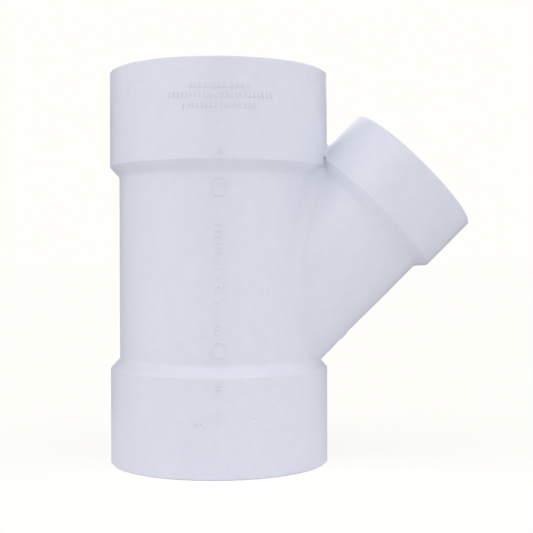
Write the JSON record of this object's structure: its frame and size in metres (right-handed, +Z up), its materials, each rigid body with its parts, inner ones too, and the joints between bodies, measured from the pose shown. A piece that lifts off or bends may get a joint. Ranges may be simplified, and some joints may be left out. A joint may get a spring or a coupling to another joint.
{
  "type": "lateral wye fitting",
  "caption": "Drain pipe wye: a straight run with a plain socket at each end and a smaller branch that leaves it at a slant and ends in a socket.",
  "frame": {"origin": "middle of the lower mouth, in the plane of its rim, where the fitting stands", "axes": "+Z up along the run, +X to the side that the branch leans to, +Y away from the viewer"},
  "size_m": [0.3017, 0.1828, 0.326],
  "materials": {
    "white_pvc": "white rigid PVC as moulded, smooth with a soft sheen"
  },
  "bodies": {
    "root": {"wye_body": "white_pvc"}
  },
  "joints": []
}
